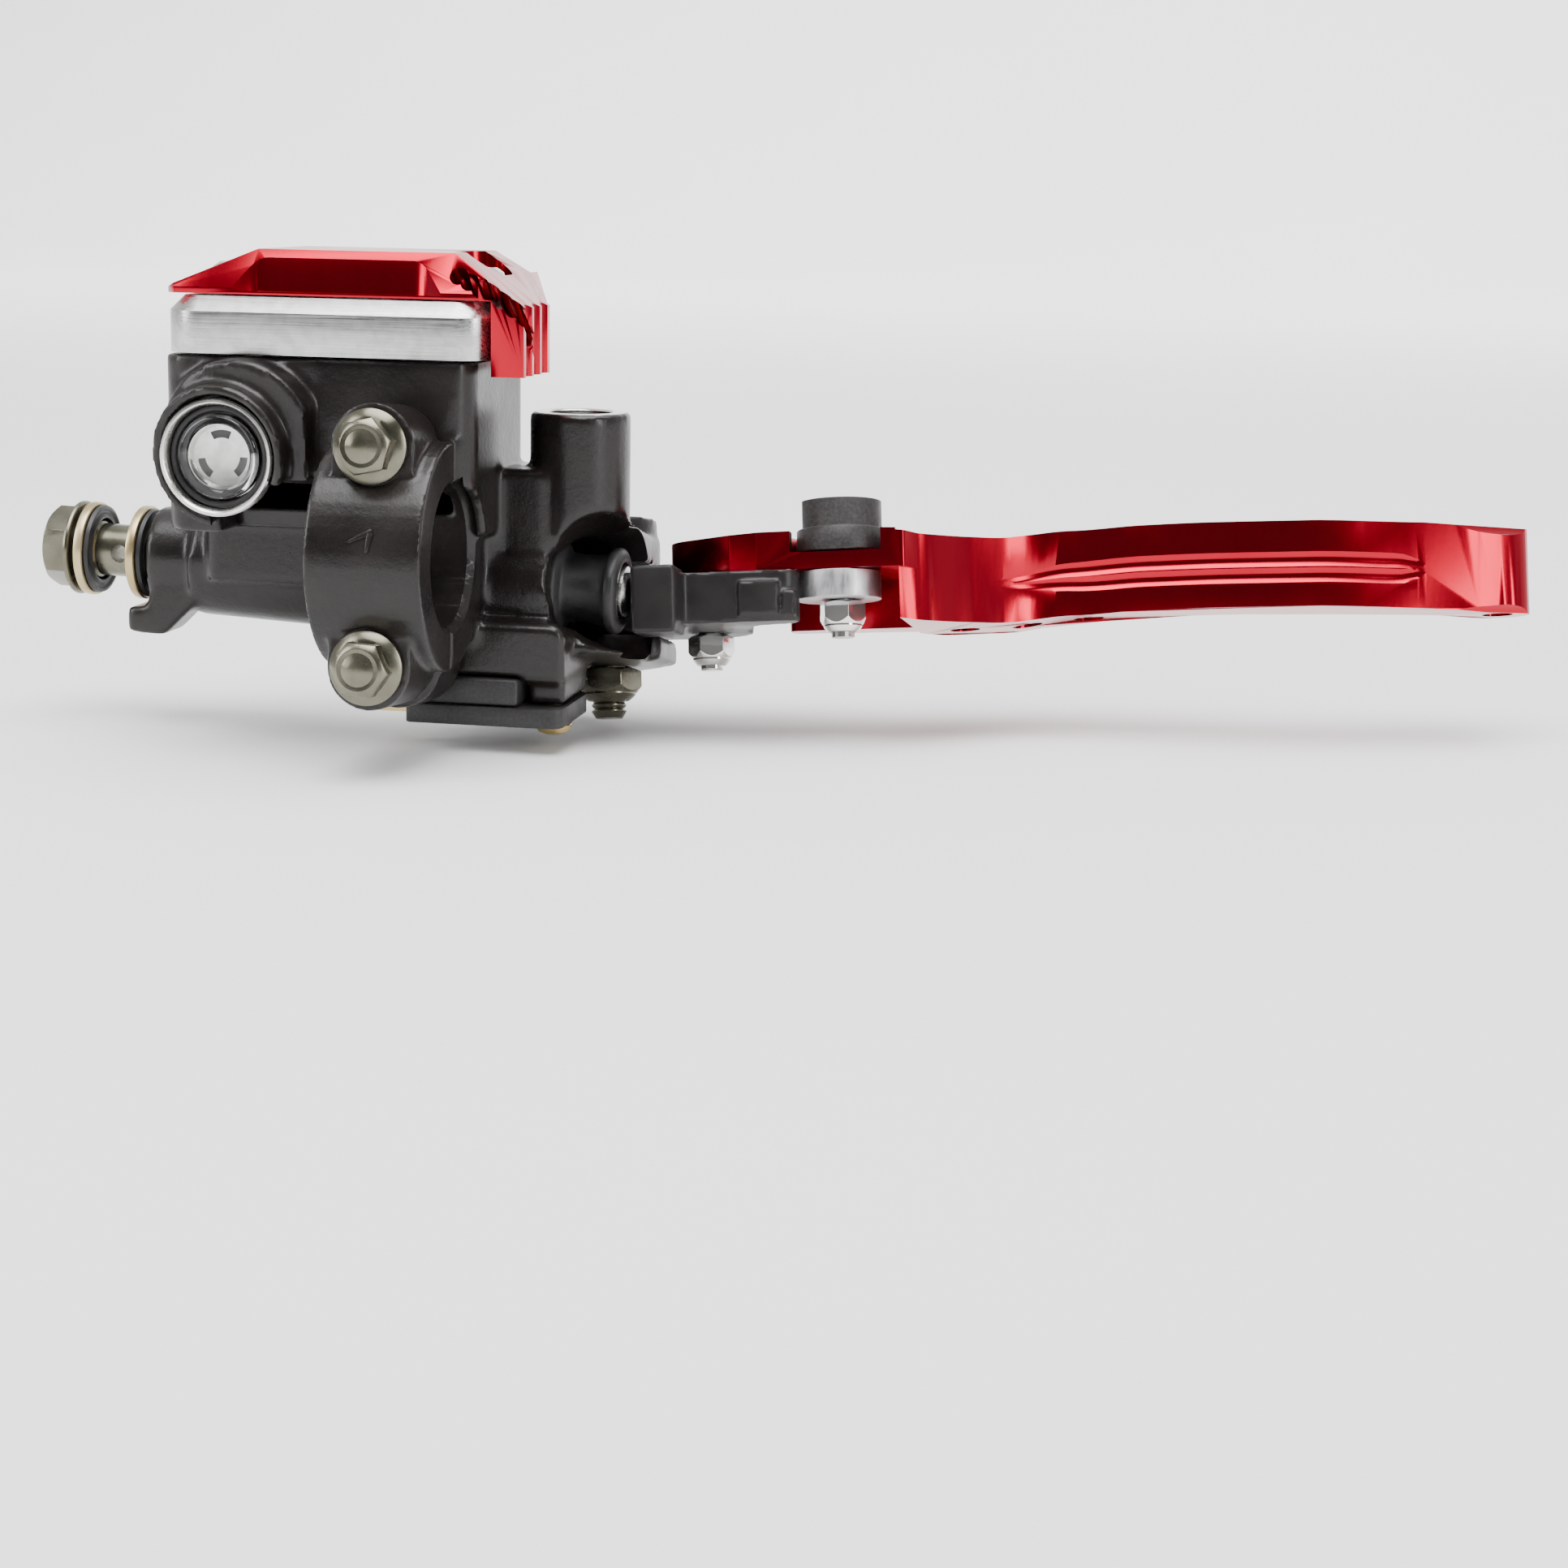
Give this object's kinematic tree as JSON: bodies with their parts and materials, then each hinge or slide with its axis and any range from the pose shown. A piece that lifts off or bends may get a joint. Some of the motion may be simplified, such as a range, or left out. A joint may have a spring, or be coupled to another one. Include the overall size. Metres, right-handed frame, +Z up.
{
  "type": "brake master cylinder",
  "caption": "Motorcycle front brake master cylinder with square reservoir, handlebar clamp, banjo outlet bolt and a lever with reach adjuster.",
  "frame": {"origin": "centre of the handlebar clamp's bore, halfway along it", "axes": "+X along the handlebar towards its end and along the lever, -Y towards the rider, +Z up"},
  "size_m": [0.2501, 0.0981, 0.08],
  "materials": {
    "black_paint": "semi-gloss black paint over cast aluminium",
    "red_anodised": "deep red anodised",
    "bare_aluminium": "brushed",
    "olive_zinc": "olive-grey zinc plate",
    "yellow_zinc": "yellow passivated zinc plate",
    "chrome": "bright",
    "rubber": "matt",
    "plastic": "charcoal, lightly textured",
    "clear": "clear",
    "steel": "satin",
    "brass": "satin"
  },
  "bodies": {
    "body": {"master_cylinder_body": "black_paint", "clamp_cap": "black_paint", "clamp_bolt_upper": "olive_zinc", "clamp_bolt_lower": "olive_zinc", "reservoir_spacer": "bare_aluminium", "reservoir_cap": "red_anodised", "cap_screw_left": "chrome", "cap_screw_right": "chrome", "diaphragm": "rubber", "diaphragm_plate": "steel", "sight_glass_ring": "bare_aluminium", "sight_glass_oring": "rubber", "sight_glass_lens": "clear", "sight_glass_reflector": "steel", "banjo_bolt": "olive_zinc", "outer_seal_ring": "yellow_zinc", "outer_seal_rubber": "rubber", "inner_seal_ring": "yellow_zinc", "inner_seal_rubber": "rubber", "piston_spring": "steel", "piston_washer": "steel", "piston_circlip": "steel", "dust_boot": "rubber", "pivot_bolt": "olive_zinc", "pivot_nut": "olive_zinc", "brake_switch_case": "plastic", "brake_switch_lid": "plastic", "switch_screw": "brass", "switch_terminal_front": "brass", "switch_terminal_rear": "brass"},
    "piston": {"piston": "bare_aluminium", "primary_cup": "rubber", "secondary_cup": "rubber"},
    "knuckle": {"lever_knuckle": "black_paint", "pivot_bush": "steel", "handle_bolt": "chrome", "handle_nut": "chrome", "handle_spring": "steel"},
    "handle": {"lever_handle": "red_anodised"},
    "adjuster": {"adjuster_knob": "plastic", "adjuster_cam": "bare_aluminium", "adjuster_screw": "steel", "adjuster_nut": "chrome", "detent_ball": "steel", "detent_spring": "steel"},
    "plunger": {"switch_plunger": "brass"}
  },
  "joints": [
    {"name": "lever_squeeze", "type": "hinge", "parent": "body", "child": "knuckle", "pos_m": [0.0232, 0.045, -0.0133], "axis": [-0.0847, 0.2411, 0.9668], "range_deg": [-20, 0], "stiffness_Nm_per_rad": 2},
    {"name": "piston_slide", "type": "slide", "parent": "body", "child": "piston", "axis": [-0.9993, 0, 0.0366], "range_m": [0, 0.0074], "deforming": ["piston_spring", "dust_boot"]},
    {"name": "switch_plunger_slide", "type": "slide", "parent": "body", "child": "plunger", "axis": [0.0847, -0.2411, -0.9668], "range_m": [0, 0.00055]},
    {"name": "handle_reach", "type": "hinge", "parent": "knuckle", "child": "handle", "pos_m": [0.04113, 0.04634, -0.01206], "axis": [-0.0847, 0.2411, 0.9668], "range_deg": [-5, 0]},
    {"name": "adjuster_turn", "type": "hinge", "parent": "handle", "child": "adjuster", "pos_m": [0.06525, 0.03859, -0.00802], "axis": [-0.0847, 0.2411, 0.9668], "range_deg": [-200, 0]}
  ],
  "couplings": [
    {"joint": "piston_slide", "follows": "lever_squeeze", "m_per_rad": -0.0209},
    {"joint": "switch_plunger_slide", "follows": "lever_squeeze", "m_per_rad": -0.0015},
    {"joint": "adjuster_turn", "follows": "handle_reach", "ratio": 40}
  ]
}
